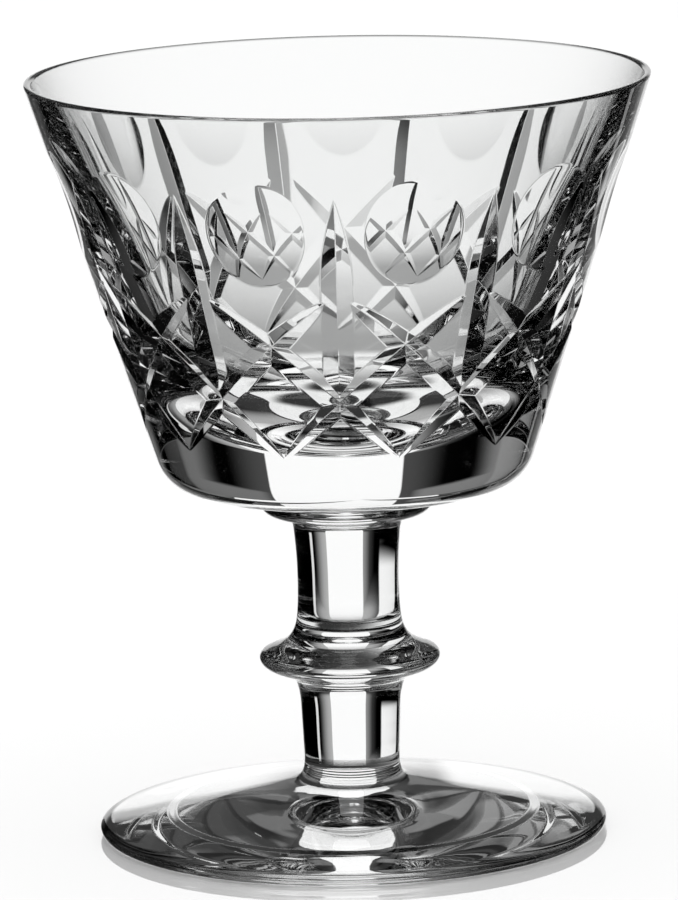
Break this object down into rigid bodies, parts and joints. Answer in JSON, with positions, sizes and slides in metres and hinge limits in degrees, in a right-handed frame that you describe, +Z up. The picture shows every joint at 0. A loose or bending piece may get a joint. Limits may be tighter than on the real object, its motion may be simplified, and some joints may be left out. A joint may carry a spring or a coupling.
{
  "type": "stemmed sherbet glass",
  "caption": "Cut-crystal sherbet glass: a flared bowl with crossed mitre cuts and thumbprints on a knopped stem and a low-domed round foot.",
  "frame": {"origin": "centre of the foot, on the table surface that the foot rests on", "axes": "+Z up along the glass's axis; -Y towards the viewer of the picture, with one upright cut of the bowl facing it"},
  "size_m": [0.0876, 0.0876, 0.108],
  "materials": {
    "crystal": "clear lead crystal, fire-polished, with polished wheel cuts on the bowl"
  },
  "bodies": {
    "root": {"foot": "crystal", "foot_collar": "crystal", "lower_stem": "crystal", "knop_ring": "crystal", "upper_stem": "crystal", "bowl_collar": "crystal", "bowl": "crystal"}
  },
  "joints": []
}
